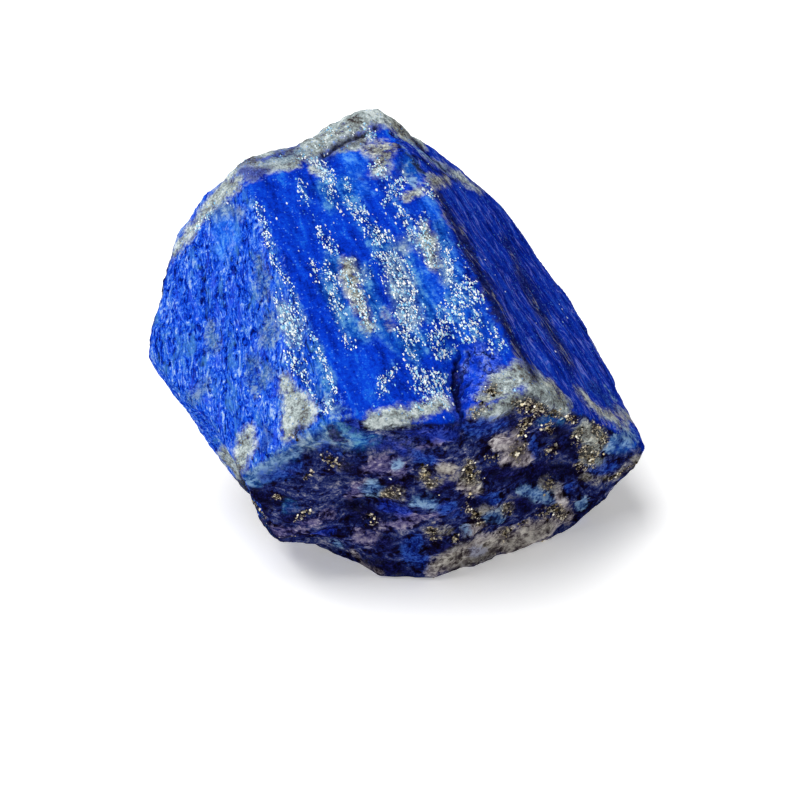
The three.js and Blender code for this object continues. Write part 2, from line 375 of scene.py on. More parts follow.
        "upper right": [(388, 186, 8), (400, 208, 10), (412, 228, 9), (428, 246, 9), (438, 268, 6)],
        "right": [(446, 238, 5), (452, 262, 9), (462, 288, 13), (474, 314, 14), (488, 338, 8), (500, 350, 4)],
        "right foot": [(444, 312, 8), (456, 334, 10), (434, 344, 8)],
        "lower field": [(412, 364, 6), (424, 380, 12), (436, 388, 12), (440, 400, 8)],
        "lower left": [(396, 362, 4), (388, 378, 7), (380, 394, 4)],
        "left": [(316, 222, 3), (328, 244, 6), (334, 270, 8), (336, 298, 9), (344, 322, 6), (352, 346, 4)],
        "far left": [(300, 180, 2.5), (306, 200, 3.5)],
        "eye": [(348, 264, 6), (360, 292, 9), (370, 326, 7)],
        "ridge": [
            (258, 206, 1.5), (268, 240, 2.5), (284, 275, 2), (298, 308, 2), (318, 345, 2.5), (334, 392, 3),
        ],
        "flank": [(274, 292, 4), (288, 322, 10), (298, 350, 7), (306, 378, 5), (326, 408, 6)],
        "tan patch": [(374, 163, 6), (386, 174, 5)],
        "cap": [(298, 158, 4), (318, 152, 4), (334, 138, 4), (352, 130, 3)],
        "flank top": [(196, 226, 3), (212, 214, 4), (228, 206, 4)],
    },
    "glint": {
        "ridge": [
            (255, 201, 1.5), (262, 215, 2), (266, 230, 1.5), (268, 245, 1.5), (274, 263, 2), (286, 278, 1),
            (292, 292, 1.5), (299, 310, 1), (304, 325, 1), (318, 345, 1), (322, 362, 1.5), (334, 395, 1.5),
        ],
        "flank cluster": [(276, 297, 1.5), (283, 310, 5), (288, 325, 7), (297, 340, 5), (302, 348, 2)],
        "under the cluster": [(288, 352, 3), (294, 365, 5), (300, 373, 4)],
        "first streak": [(303, 186, 2), (305, 195, 2.5)],
        "second streak": [(319, 228, 2), (326, 240, 4), (333, 250, 3)],
        "left of the eye": [(312, 262, 2), (318, 280, 3)],
        "near the eye": [(330, 275, 4), (332, 300, 4), (337, 317, 3)],
        "eye": [(345, 273, 2), (356, 292, 3), (361, 303, 4), (368, 326, 3)],
        "right of the eye": [(366, 268, 1.5), (372, 278, 1.5)],
        "top left": [(315, 162, 3.5), (325, 171, 6), (330, 184, 5.5), (334, 204, 2)],
        "second top": [(346, 180, 2), (350, 190, 2)],
        "tan patch": [(372, 165, 3), (380, 170, 5), (385, 178, 3)],
        "cap": [(302, 156, 3)],
        "second cap": [(330, 132, 4)],
        "cap end": [(364, 128, 3), (372, 138, 4)],
        "upper main": [(358, 208, 4), (366, 219, 4)],
        "second upper main": [(372, 229, 5), (386, 236, 6)],
        "main": [
            (378, 256, 5), (392, 262, 9), (402, 274, 9), (400, 288, 10), (408, 300, 8), (404, 316, 8),
            (412, 326, 6),
        ],
        "below": [(400, 328, 5), (410, 342, 5), (411, 354, 3)],
        "shoulder": [(386, 204, 3), (394, 190, 5), (403, 180, 5)],
        "second shoulder": [(425, 187, 2), (433, 197, 3)],
        "upper right": [(402, 214, 4), (408, 228, 4), (414, 237, 3)],
        "pale patch": [(422, 218, 4), (425, 240, 5), (429, 250, 5)],
        "right": [(448, 245, 3), (447, 262, 3), (452, 280, 5), (462, 292, 5)],
        "second right": [(470, 284, 4), (474, 302, 4)],
        "third right": [(450, 300, 4), (458, 313, 5), (462, 325, 5)],
        "fourth right": [(440, 308, 3), (444, 330, 4), (430, 338, 4)],
        "lower right": [(472, 325, 6), (479, 335, 5), (466, 341, 3)],
        "ridge end": [(492, 326, 2), (497, 336, 2), (501, 347, 3)],
        "lower": [(440, 355, 5), (450, 352, 4)],
        "lower field": [(417, 372, 6), (428, 382, 10), (440, 378, 7), (436, 395, 8)],
        "lower left": [(380, 392, 2), (384, 381, 4), (392, 374, 4), (396, 366, 2)],
        "small": [(350, 345, 3)],
        "band": [(416, 408, 4), (425, 404, 3)],
        "hook": [(330, 402, 3), (327, 410, 3)],
        "left flank": [(197, 224, 1.5), (199, 229, 1.5)],
    },
    "pyrite": {
        "crust": [(518, 404, 5), (530, 407, 8), (543, 409, 5)],
        "crust neck": [(527, 420, 4), (522, 434, 4)],
        "crust top": [(548, 414, 2.5), (560, 415, 3), (572, 419, 3)],
        "block": [(519, 451, 7)],
        "second block": [(549, 451, 5)],
        "pocket": [(545, 426, 3), (552, 432, 3)],
        "gold field": [(579, 432, 5), (577, 441, 4)],
        "second field": [(598, 430, 5), (604, 442, 3)],
        "third field": [(586, 452, 6), (594, 458, 7)],
        "field foot": [(582, 466, 4)],
        "matrix left": [(486, 391, 3), (494, 388, 4), (499, 392, 2)],
        "matrix foot": [(479, 405, 4), (475, 414, 3)],
        "brown": [(470, 468, 5), (472, 479, 5)],
        "brown foot": [(470, 496, 3)],
        "middle": [(490, 457, 3), (496, 460, 3)],
        "low middle": [(508, 510, 4)],
        "low arc": [(467, 508, 3), (475, 514, 3)],
        "low right": [(542, 514, 4), (552, 510, 6), (562, 514, 5)],
        "vein": [(550, 486, 5)],
        "left": [(326, 457, 3), (332, 462, 5)],
        "left edge": [(294, 438, 3)],
        "left middle": [(312, 472, 2), (305, 482, 2)],
        "left small": [(275, 498, 2.5)],
        "left low": [(264, 516, 3.5), (256, 506, 3)],
        "left row": [(297, 520, 2), (310, 508, 3)],
        "golden": [(388, 494, 4), (398, 491, 3)],
        "second golden": [(425, 474, 4), (430, 482, 4)],
        "toe": [(432, 530, 4), (437, 538, 3)],
        "toe foot": [(455, 539, 3)],
        "foot": [(505, 534, 4)],
        "second foot": [(525, 524, 3)],
        "third foot": [(480, 522, 3)],
        "dark": [(368, 519, 3), (374, 522, 2.5)],
        "rim": [(634, 462, 1.5), (624, 472, 1.5), (606, 480, 1.5)],
    },
    "bronze": {
        "ridge": [
            (438, 194, 4), (452, 218, 5), (468, 248, 6), (480, 275, 7), (492, 300, 6), (506, 326, 5),
            (520, 352, 5), (535, 378, 5),
        ],
        "flank band": [(504, 236, 3), (520, 270, 6), (534, 300, 8), (553, 334, 8), (568, 362, 6)],
    },
}

# Patches on the far sides and under the left corner. Each runs through a row of places: turn and rise
# from the heart, and how many mm the patch reaches to all sides.
unseen = {
    "rock": {
        "behind the cap": [(145, 48, 4.5), (128, 51, 4.5), (118, 53, 4.5), (104, 51, 4.5), (90, 48, 4)],
        "back vein": [(150, 22, 1.5), (128, 12, 3.5), (104, 4, 4.5), (84, -6, 2.5)],
        "side vein": [(20, -10, 1.2), (34, -14, 3), (48, -22, 3.5)],
        "left foot": [(168, -16, 2), (176, -30, 3)],
        "left corner": [(-167, -22, 3), (-164, -27, 2.5)],
    },
    "dark": {"heel": [(-146, -33, 3.8), (-156, -35, 5), (-170, -40, 4)]},
    "mauve": {"heel rim": [(-144, -40, 2), (-154, -43, 2.5)]},
}

# What else lies on the far sides, wherever a noise is high: the breaks it lies on, the grain, length
# and width in mm of the noise, and how high it has to be.
strewn = {
    "sparkling": (("banded", "fibrous", "folded"), "banded", 13, 3.5, 0.2),
    "azure": (("banded", "fibrous"), "banded", 15, 6, 0.05),
    "teal": (("banded", "fibrous", "folded"), "banded", 12, 4, 0.22),
    "haze": (("banded", "fibrous"), "banded", 9, 3, 0.26),
    "dusty": (("fibrous", "folded"), "fibrous", 7, 3, 0.2),
    "ashen": (("layered",), "layered", 8, 3.5, 0.26),
    "mauve": (("layered",), "layered", 8, 3, 0.22),
    "pale": (("layered", "folded"), "layered", 6, 2.6, 0.3),
    "blue": (("layered",), "layered", 7, 3.5, 0.15),
    "navy": (("layered", "banded"), "layered", 11, 5, 0.22),
    "dark": (("layered",), "layered", 8, 3, 0.18),
    "warm": (("layered",), "layered", 9, 5, 0.18),
    "pyrite": (("layered",), "layered", 3.5, 1.8, 0.3),
    "bronze": (("folded",), "folded", 16, 3, 0.18),
}

# Cracks in the roof: how wide and how deep each is in mm, and its row of places in the picture.
cracks = {
    "fissure": (0.26, 0.8, [
        (457, 352), (457, 367), (454, 373), (454, 387), (456, 395), (458, 404), (461, 415), (462, 424),
    ]),
    "loop": (0.2, 0.5, [(457, 367), (460, 369), (463, 378), (459, 383), (457, 392)]),
    "right of the fissure": (0.2, 0.5, [(468, 352), (468, 362), (464, 370), (461, 376)]),
    "lower branch": (0.2, 0.6, [(471, 381), (463, 390), (460, 398)]),
    "in the fan": (0.16, 0.3, [(470, 355), (473, 363), (479, 364), (488, 372), (495, 375)]),
    "across the fan": (0.14, 0.12, [(463, 347), (470, 355), (482, 352), (494, 358)]),
    "cap seam": (0.22, 0.4, [(322, 158), (337, 147), (350, 140), (364, 136), (376, 128)]),
}

steepness = radians(view["angle above level"])
forward = np.array((0, cos(steepness), -sin(steepness)))
pictureUp = np.array((0, sin(steepness), cos(steepness)))
eye = np.array(view["target"]) - view["distance"] * forward
pixel = view["sensor"] / view["lens"] / view["picture"]  # one pixel, at a distance of 1

# Turns a place into one measured as the camera sees it, where depth counts for less.
depthShare = 0.3
pictureFrame = np.array([(1, 0, 0), pictureUp, depthShare * forward])


def directionOf(turn, rise):
    level = cos(radians(rise))
    return np.array((level * cos(radians(turn)), level * sin(radians(turn)), sin(radians(rise))))


def stoneTree():
    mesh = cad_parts["lapis_stone"].data
    corners = [vertex.co / mm for vertex in mesh.vertices]
    return BVHTree.FromPolygons(corners, [list(face.vertices) for face in mesh.polygons])


stoneShape = stoneTree()


def seenAt(across, down):
    # the place on the stone that the camera sees at this pixel, or the nearest to it
    middle = view["picture"] / 2
    direction = forward + pixel * np.array((across - middle, 0, 0)) - pixel * (down - middle) * pictureUp
    hit = stoneShape.ray_cast(eye, direction)[0]
    return np.array(hit or stoneShape.find_nearest(eye + view["distance"] * direction)[0])


def unseenAt(turn, rise):
    return np.array(stoneShape.ray_cast(heart, directionOf(turn, rise))[0])


def seenPatch(corners):
    places = [seenAt(across, down) for across, down, _ in corners]
    reaches = [radius * pixel * (place - eye) @ forward for place, (_, _, radius) in zip(places, corners)]
    return [(*(pictureFrame @ place), reach) for place, reach in zip(places, reaches)]


def unseenPatch(corners):
    return [(*unseenAt(turn, rise), radius) for turn, rise, radius in corners]


def grainFrame(turn, rise):
    along = directionOf(turn, rise)
    across = np.cross((0, 0, 1), along)
    across /= np.linalg.norm(across)
    return np.array((along, across, np.cross(along, across)))


def noiseAt(points, size, seed=0):
    return np.array([noise.noise(place) for place in (points / size + 17.3 * seed).tolist()])


def grainNoise(points, kind, length, width, seed=0):
    return noiseAt(points @ grainFrame(*grains[kind]).T / (length, width, width), 1, seed)


def depthInPatch(points, corners):
    # how far inside the patch each point lies, in mm, and below zero outside it
    deepest = np.full(len(points), -np.inf)
    for first, second in zip(corners, corners[1:] or corners):
        start, run = np.array(first[:3]), np.subtract(second[:3], first[:3])
        part = np.clip((points - start) @ run / max(run @ run, 1e-9), 0, 1)
        away = np.linalg.norm(points - start - part[:, None] * run, axis=1)
        deepest = np.maximum(deepest, first[3] + part * (second[3] - first[3]) - away)
    return deepest


def patchMask(points, drift, kind, softness):
    # 1 deep inside the patches of a kind, a half at their edges and 0 well outside
    inPicture = points @ pictureFrame.T
    patches = [(inPicture, seenPatch(corners)) for corners in seen[kind].values()]
    patches += [(points + drift, unseenPatch(corners)) for corners in unseen.get(kind, {}).values()]
    mask = np.zeros(len(points))
    for places, corners in patches:
        widest = max(corner[3] for corner in corners)
        fade = min(softness, max(stone["thinnest edge"], stone["edge share"] * widest))
        mask = np.maximum(mask, 0.5 + depthInPatch(places, corners) / (2 * fade))
    return np.minimum(mask, 1)


def strewnMask(points, hidden, shares, kind):
    places, along, length, width, level = strewn[kind]
    cloud = grainNoise(points, along, length, width, stone["strewn seed"] + list(strewn).index(kind))
    high = np.clip(0.5 + stone["strewn crispness"] * width * (cloud - level), 0, 1)
    return high * hidden * sum(shares[place] for place in places)


def hiddenShare(points, normals):
    # 1 where the surface faces away from the camera, 0 where it faces towards it
    towards = eye - points
    towards /= np.linalg.norm(towards, axis=1)[:, None]
    start, slope = stone["hidden"]
    return np.clip(start - slope * (normals * towards).sum(axis=1), 0, 1)


def breakShares(points):
    # the share of each kind of break at each point
    directions = points - heart
    directions /= np.linalg.norm(directions, axis=1)[:, None]
    shares = {kind: 0 for kind in grains}
    for turn, rise, reach, kind in breaks:
        nearness = np.maximum(directions @ directionOf(turn, rise), 0) / reach
        shares[kind] = shares[kind] + nearness ** stone["break crispness"]
    whole = sum(shares.values())
    return {kind: share / whole for kind, share in shares.items()}


# The surface of the stone

stone = {
    "piece": "lapis_surface",
    "voxel": 0.425,  # mm
    "smoothing": (0.5, 4),  # strength and rounds
    "break crispness": 60,  # how sharply one break gives way to the next
    "patch edge": 0.9,  # mm over which a patch fades, to each side of its edge
    "glint edge": 0.4,
    "thinnest edge": 0.35,
    "edge share": 1.6,  # a thin patch fades over this share of its reach
    # how the edges of patches wander: the size of the bends and how far they reach, in mm
    "wander": (2.2, 0.5),
    "drift": (6, 3),  # on the far sides
    "jags": (0.9, 0.35),  # of the cracks
    "glint wander": 0.6,  # the share of the wander that patches of glints take
    # the strength, length and width in mm and seed of the streaks that glints lie in, and how the
    # streaks become the share of glints: its level, its slope and the most
    "streaks": [(1, 5, 0.65, 21), (0.4, 2, 0.5, 23)],
    "streak share": (0.3, 2.2, 0.8),
    "strewn seed": 40,
    "strewn crispness": 0.9,
    "hidden": (0.4, 3),  # how the far sides begin: the level and the slope
    # for each kind of break, the length, width and height in mm of its ribs
    "ribs": {
        "banded": [(7, 1.1, 0.14), (2.5, 0.6, 0.1)],
        "fibrous": [(3.5, 1.0, 0.18), (1.6, 0.55, 0.13)],
        "folded": [(5, 0.9, 0.18), (2.4, 0.5, 0.1)],
        "layered": [(5, 1.8, 0.4), (2.2, 0.9, 0.26), (1, 0.6, 0.14)],
    },
    "grit": {"size": 0.8, "lump size": 2, "height": 0.2, "level": 0.4},  # the grains of the grey rock
    "pits": {"size": 0.8, "depth": 0.2, "level": 0.5},  # where the pyrite sits
    "wrinkles": {"length": 1.8, "width": 0.5, "height": 0.14, "level": 0.6, "slope": 4},
    "calm": 1.5,  # mm above the floor, up to which the relief grows
    "finer near a crack": 3.5,  # mm to each side, where the mesh is twice as fine
}


def crackLines():
    return [[(*seenAt(across, down), 0) for across, down in line] for _, _, line in cracks.values()]


def fineMesh():
    rough = addToScene("rough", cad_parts["lapis_stone"].data.copy())
    remesh = rough.modifiers.new("even", "REMESH")
    remesh.mode = "VOXEL"
    remesh.voxel_size = stone["voxel"] * mm
    smooth = rough.modifiers.new("worn", "SMOOTH")
    smooth.factor, smooth.iterations = stone["smoothing"]
    fine = bpy.data.meshes.new_from_object(rough.evaluated_get(bpy.context.evaluated_depsgraph_get()))
    bpy.data.objects.remove(rough)
    fine.name = stone["piece"]
    points = pointsOf(fine)
    depths = [depthInPatch(points, line) for line in crackLines()]
    near = np.max(depths, axis=0) > -stone["finer near a crack"]
    shape = bmesh.new()
    shape.from_mesh(fine)
    edges = [edge for edge in shape.edges if near[edge.verts[0].index] and near[edge.verts[1].index]]
    bmesh.ops.subdivide_edges(shape, edges=edges, cuts=1, use_grid_fill=True, smooth=0.5)
    shape.to_mesh(fine)
    shape.free()
    return fine


def valuesOf(things, name, width=1, kind=float):
    # a row of width values for each of the things
    values = np.zeros(len(things) * width, kind)
    things.foreach_get(name, values)
    return values.reshape(-1, width)


def pointsOf(mesh):
    return valuesOf(mesh.vertices, "co", 3) / mm


def normalsOf(mesh):
    return valuesOf(mesh.vertex_normals, "vector", 3)


def shifts(points, size, most, seeds):
    # a smooth random shift at each point
    return most * np.stack([noiseAt(points, size, seed) for seed in seeds], 1)


def reliefHeight(points, shares, masks):
    height = np.zeros(len(points))
    for kind, ribs in stone["ribs"].items():
        clear = shares[kind] * (1 - masks["rock"])
        for seed, (length, width, tall) in enumerate(ribs):
            height += clear * tall * grainNoise(points, kind, length, width, seed)
    grit = stone["grit"]
    height += masks["rock"] * grit["height"] * (grit["level"] + noiseAt(points, grit["size"], 5))
    height += masks["rock"] * grit["height"] * noiseAt(points, grit["lump size"], 6)
    pits = stone["pits"]
    inPits = np.clip(2 * masks["pyrite"], 0, 1)
    height -= inPits * pits["depth"] * (pits["level"] + noiseAt(points, pits["size"], 7))
    wrinkles = stone["wrinkles"]
    folds = np.abs(grainNoise(points, "folded", wrinkles["length"], wrinkles["width"], 8))
    height += masks["wrinkled"] * wrinkles["height"] * (wrinkles["level"] - wrinkles["slope"] * folds)
    jagged = points + shifts(points, *stone["jags"], seeds=(8, 9, 10))
    # the closeness to the cracks also marks where painted shade goes
    crackShade = np.zeros(len(points))
    for (width, depth, _), line in zip(cracks.values(), crackLines()):
        closeness = np.exp(-((depthInPatch(jagged, line) / width) ** 2))
        height -= depth * closeness
        crackShade = np.maximum(crackShade, closeness)
    return height, crackShade


def makeStone():
    mesh = fineMesh()
    points, normals = pointsOf(mesh), normalsOf(mesh)
    wander = shifts(points, *stone["wander"], seeds=(1, 2, 3))
    drift = shifts(points, *stone["drift"], seeds=(4, 5, 6))
    shares = breakShares(points + wander)
    masks = {kind: patchMask(points + wander, drift, kind, stone["patch edge"]) for kind in seen}
    wandering = points + stone["glint wander"] * wander
    masks["glint"] = patchMask(wandering, drift, "glint", stone["glint edge"])
    hidden = hiddenShare(points, normals)
    for kind in strewn:
        masks[kind] = np.maximum(masks[kind], strewnMask(points, hidden, shares, kind))
    streaks = sum(share * grainNoise(points, "banded", *streak) for share, *streak in stone["streaks"])
    level, slope, most = stone["streak share"]
    inStreaks = masks["sparkling"] * np.clip(level + slope * streaks, 0, most)
    masks["glint"] = np.maximum(masks["glint"], inStreaks)
    height, masks["crackShade"] = reliefHeight(points, shares, masks)
    height *= np.clip(points[:, 2] / stone["calm"], 0, 1)  # the flat spot stays flat
    points += height[:, None] * normals
    points[:, 2] = np.maximum(points[:, 2], 0)
    mesh.vertices.foreach_set("co", (points * mm).astype(np.float32).ravel())
    stored = masks | {kind: shares[kind] for kind in ("fibrous", "folded", "layered")}
    for name, values in stored.items():
        attribute = mesh.attributes.new(name, "FLOAT", "POINT")
        attribute.data.foreach_set("value", values.astype(np.float32))
    mesh.shade_smooth()
    mesh.update()
    piece = addToScene(stone["piece"], mesh)
    print("stone surface:", len(mesh.polygons), "faces")
    return piece


# Nodes

def addNode(tree, kind, inputs=None, **settings):
    node = tree.nodes.new("ShaderNode" + kind)
    for name, value in settings.items():
        setattr(node, name, value)
    feed(tree, node, inputs or {})
    return node


def maths(tree, operation, first, second=0.0, third=0.0):
    return addNode(tree, "Math", {0: first, 1: second, 2: third}, operation=operation).outputs[0]


def times(tree, first, second):
    return maths(tree, "MULTIPLY", first, second)


def spread(tree, value, low, high, toLow=0.0, toHigh=1.0):
    # value, where low to high becomes toLow to toHigh, and no further
    return addNode(tree, "MapRange", {0: value, 1: low, 2: high, 3: toLow, 4: toHigh}).outputs[0]


def mixed(tree, share, first, second):
    # a colour from first to second, as share goes from 0 to 1
    return addNode(tree, "Mix", {0: share, 6: first, 7: second}, data_type="RGBA").outputs[2]


def between(tree, share, first, second):
    # the same for numbers
    return addNode(tree, "Mix", {0: share, 2: first, 3: second}, data_type="FLOAT").outputs[0]


def scaled(tree, vector, factor):
    return addNode(tree, "VectorMath", {0: vector, "Scale": factor}, operation="SCALE").outputs[0]


def moved(tree, position, by):
    return addNode(tree, "VectorMath", {0: position, 1: by}).outputs[0]


def linear(red, green, blue):
    # a screen colour, 0 to 255, as the shader takes it
    parts = [part / 255 for part in (red, green, blue)]
    return (*[part / 12.92 if part < 0.04 else ((part + 0.055) / 1.055) ** 2.4 for part in parts], 1)


def ramp(tree, value, stops):
    node = addNode(tree, "ValToRGB", {0: value})
    elements = node.color_ramp.elements
    while len(elements) < len(stops):
        elements.new(0.5)
    for element, (place, colour) in zip(elements, stops):
        element.position = place
        element.color = linear(*colour)
    return node.outputs[0]


def mask(tree, name):
    return addNode(tree, "Attribute", attribute_name=name).outputs["Fac"]


def newGroup(name, inputs, outputs):
    tree = bpy.data.node_groups.new(name, "ShaderNodeTree")
    for socket, kind, value in inputs:
        made = tree.interface.new_socket(name=socket, in_out="INPUT", socket_type="NodeSocket" + kind)
        if value is not None:
            made.default_value = value
    for socket, kind in outputs:
        tree.interface.new_socket(name=socket, in_out="OUTPUT", socket_type="NodeSocket" + kind)
    return tree, tree.nodes.new("NodeGroupInput").outputs, tree.nodes.new("NodeGroupOutput")


# The shapes of the effects that the groups below make.
effects = {
    "fleck size": (0.22, 0.46),  # the least and the most, as shares of a cell
    "fleck crispness": 9.0,
    "thread waves": (1.2, 2.0, 1.3),  # how many there are in a cell, their detail and their reach
    "thread core": 0.4,  # the share of a thread's thickness that is full
    "thread gaps": (0.46, 0.58),  # a thread starts and is whole at these levels of the noise
    "least mask": 0.3,  # a ragged patch thins out where its mask is lower
}

grainSockets = [("Position", "Vector", None), ("Turn", "Vector", None), ("Reach", "Vector", (1, 1, 1))]


def turnedTo(tree, given):
    # the position in a frame that lies along a grain, where Reach, in mm, is 1
    inputs = {"Vector": given["Position"], "Rotation": given["Turn"], "Scale": given["Reach"]}
    return addNode(tree, "Mapping", inputs, vector_type="TEXTURE").outputs[0]


def bent(tree, position, waves, detail, reach):
    # the position, moved by a noise
    shift = addNode(tree, "TexNoise", {"Vector": position, "Scale": waves, "Detail": detail})
    return moved(tree, position, scaled(tree, shift.outputs["Color"], reach))


def makeGrainGroup():
    # noise that is stretched along a grain, with features of the size of Reach
    sockets = [("Detail", "Float", 4.0), ("Coarseness", "Float", 0.6), ("Curl", "Float", 0.0)]
    tree, given, out = newGroup("stretched grain", grainSockets + sockets, [("Value", "Float")])
    inputs = {"Vector": turnedTo(tree, given), "Scale": 1.0, "Detail": given["Detail"]}
    inputs.update({"Roughness": given["Coarseness"], "Distortion": given["Curl"]})
    feed(tree, out, {"Value": addNode(tree, "TexNoise", inputs).outputs["Fac"]})
    return tree


def makeFleckGroup():
    # scattered flecks of about Size mm; Amount is the share of the cells that hold one
    sockets = [("Position", "Vector", None), ("Size", "Float", 0.4), ("Amount", "Float", 0.2)]
    tree, given, out = newGroup("flecks", sockets, [("Mask", "Float"), ("Shade", "Float")])
    scale = maths(tree, "DIVIDE", 1.0, given["Size"])
    uneven = bent(tree, given["Position"], scale, 1.0, given["Size"])
    cells = addNode(tree, "TexVoronoi", {"Vector": uneven, "Scale": scale})
    parts = addNode(tree, "SeparateColor", {0: cells.outputs["Color"]})
    held = maths(tree, "LESS_THAN", parts.outputs[0], given["Amount"])
    size = spread(tree, parts.outputs[1], 0.0, 1.0, *effects["fleck size"])
    depth = maths(tree, "SUBTRACT", size, cells.outputs["Distance"])
    shape = spread(tree, times(tree, depth, effects["fleck crispness"]), 0.0, 1.0)
    feed(tree, out, {"Mask": times(tree, held, shape), "Shade": parts.outputs[2]})
    return tree


def makeThreadGroup():
    # thin wavy lines along a grain: the edges of cells of the size of Reach
    sockets = [("Thickness", "Float", 0.05)]
    tree, given, out = newGroup("threads", grainSockets + sockets, [("Mask", "Float")])
    wavy = bent(tree, turnedTo(tree, given), *effects["thread waves"])
    cells = addNode(tree, "TexVoronoi", {"Vector": wavy, "Scale": 1.0}, feature="DISTANCE_TO_EDGE")
    near = maths(tree, "DIVIDE", cells.outputs["Distance"], given["Thickness"])
    feed(tree, out, {"Mask": spread(tree, near, effects["thread core"], 1.0, 1.0, 0.0)})
    return tree


def makeRaggedGroup():
    # a soft mask made crisp, along an edge that the noise tears
    starts = {"Mask": 0.0, "Noise": 0.5, "Tear": 1.0, "Crispness": 6.0}
    sockets = [(name, "Float", value) for name, value in starts.items()]
    tree, given, out = newGroup("ragged edge", sockets, [("Mask", "Float")])
    torn = times(tree, maths(tree, "SUBTRACT", given["Noise"], 0.5), given["Tear"])
    middle = maths(tree, "SUBTRACT", maths(tree, "ADD", given["Mask"], torn), 0.5)
    crisp = spread(tree, times(tree, middle, given["Crispness"]), -0.5, 0.5)
    inside = spread(tree, given["Mask"], 0.0, effects["least mask"])
    feed(tree, out, {"Mask": times(tree, crisp, inside)})
    return tree


grainGroup = makeGrainGroup()
fleckGroup = makeFleckGroup()
threadGroup = makeThreadGroup()
raggedGroup = makeRaggedGroup()


def newMaterial(name):
    material = bpy.data.materials.new(name)
    material.use_nodes = True
    tree = material.node_tree
    position = scaled(tree, addNode(tree, "TexCoord").outputs["Object"], 1 / mm)
    return material, tree, tree.nodes["Principled BSDF"], position


def alongGrain(position, kind, length, width):
    turn, rise = grains[kind]
    lying = (0, -radians(rise), radians(turn))
    return {"Position": position, "Turn": lying, "Reach": (length, width, width)}


def grain(tree, position, kind, length, width, detail=4.0, coarseness=0.6, curl=0.0, shift=0.0):
    if shift:
        position = moved(tree, position, (shift, shift, shift))
    inputs = alongGrain(position, kind, length, width)
    inputs.update({"Detail": detail, "Coarseness": coarseness, "Curl": curl})
    return addNode(tree, "Group", inputs, node_tree=grainGroup).outputs[0]


def threads(tree, position, kind, length, width, thickness, gaps):
    # thin lines along the grain, broken where gaps is low
    inputs = alongGrain(position, kind, length, width) | {"Thickness": thickness}
    lines = addNode(tree, "Group", inputs, node_tree=threadGroup).outputs[0]
    return times(tree, lines, spread(tree, gaps, *effects["thread gaps"]))


def blend(tree, *parts):
    # noises added about their middle: each part is a noise and how much of it there is
    whole = 0.5
    for value, share in parts:
        whole = maths(tree, "MULTIPLY_ADD", maths(tree, "SUBTRACT", value, 0.5), share, whole)
    return whole


def ragged(tree, value, noiseValue, tear, crispness):
    inputs = {"Mask": value, "Noise": noiseValue, "Tear": tear, "Crispness": crispness}
    return addNode(tree, "Group", inputs, node_tree=raggedGroup).outputs[0]


def flecks(tree, position, size, amount):
    inputs = {"Position": position, "Size": size, "Amount": amount}
    return addNode(tree, "Group", inputs, node_tree=fleckGroup).outputs


# Stone material: each kind of break has its own colours, and the patches lie over them.

palette = {
    "banded": [
        (0.26, (3, 20, 112)), (0.38, (6, 40, 162)), (0.49, (8, 54, 198)),
        (0.60, (12, 70, 212)), (0.74, (34, 112, 226)),
    ],
    "fibrous": [
        (0.22, (4, 14, 84)), (0.36, (6, 40, 166)), (0.47, (12, 70, 214)), (0.57, (36, 96, 224)),
        (0.68, (84, 132, 228)), (0.80, (164, 192, 238)),
    ],
    "folded": [(0.26, (4, 16, 92)), (0.42, (10, 34, 148)), (0.56, (18, 54, 184)), (0.74, (50, 96, 206))],
    "layered": [
        (0.24, (10, 4, 10)), (0.36, (16, 10, 30)), (0.45, (18, 19, 64)), (0.53, (28, 40, 102)),
        (0.61, (56, 65, 114)), (0.70, (100, 104, 136)), (0.82, (164, 160, 176)),
    ],
    "sparkling": [(0.32, (6, 24, 96)), (0.48, (12, 56, 156)), (0.62, (28, 92, 200)), (0.76, (90, 150, 220))],
    # where glints lie the blue turns darker and greyer: partly the stone's own colour, partly painted shade
    # between the glints
    "glint": [(0.32, (6, 20, 84)), (0.46, (14, 46, 130)), (0.58, (30, 84, 174)), (0.70, (96, 150, 204))],
    "rock": [
        (0.24, (64, 58, 54)), (0.38, (116, 120, 120)), (0.54, (154, 168, 170)), (0.74, (214, 224, 224)),
    ],
    "ashen": [
        (0.32, (56, 48, 56)), (0.46, (126, 118, 126)), (0.60, (180, 172, 176)), (0.74, (228, 222, 222)),
    ],
    "mauve": [(0.32, (32, 26, 68)), (0.46, (80, 74, 124)), (0.60, (124, 116, 152)), (0.74, (184, 174, 190))],
    "pale": [(0.32, (28, 48, 112)), (0.48, (72, 110, 168)), (0.66, (142, 178, 214))],
    "teal": [(0.30, (8, 48, 130)), (0.50, (24, 96, 184)), (0.72, (110, 174, 214))],
    "azure": [(0.30, (8, 62, 196)), (0.50, (22, 100, 230)), (0.72, (96, 164, 240))],
    "haze": [(0.28, (26, 52, 112)), (0.48, (88, 122, 164)), (0.70, (180, 200, 208))],
    "dusty": [(0.32, (20, 48, 116)), (0.50, (74, 110, 148)), (0.68, (140, 162, 176))],
    "dark": [(0.34, (8, 4, 12)), (0.52, (14, 12, 44)), (0.70, (26, 30, 98)), (0.80, (60, 62, 116))],
    "navy": [(0.34, (5, 8, 56)), (0.52, (16, 34, 136)), (0.70, (44, 70, 184))],
    "blue": [(0.32, (8, 16, 72)), (0.48, (20, 44, 140)), (0.66, (52, 92, 186))],
    "wrinkled": [
        (0.30, (6, 26, 140)), (0.44, (38, 76, 218)), (0.60, (80, 114, 236)), (0.78, (144, 162, 242)),
    ],
    "warm": [(0.32, (66, 58, 48)), (0.48, (142, 136, 120)), (0.66, (212, 208, 190))],
    "bronze": [(0.36, (8, 10, 44)), (0.50, (18, 28, 92)), (0.66, (44, 52, 118))],
    # dark crust around the pyrite, whose brightest specks are painted sparkle of pyrite
    "crust": [(0.40, (8, 6, 8)), (0.52, (34, 26, 22)), (0.61, (116, 100, 76)), (0.68, (246, 234, 206))],
}

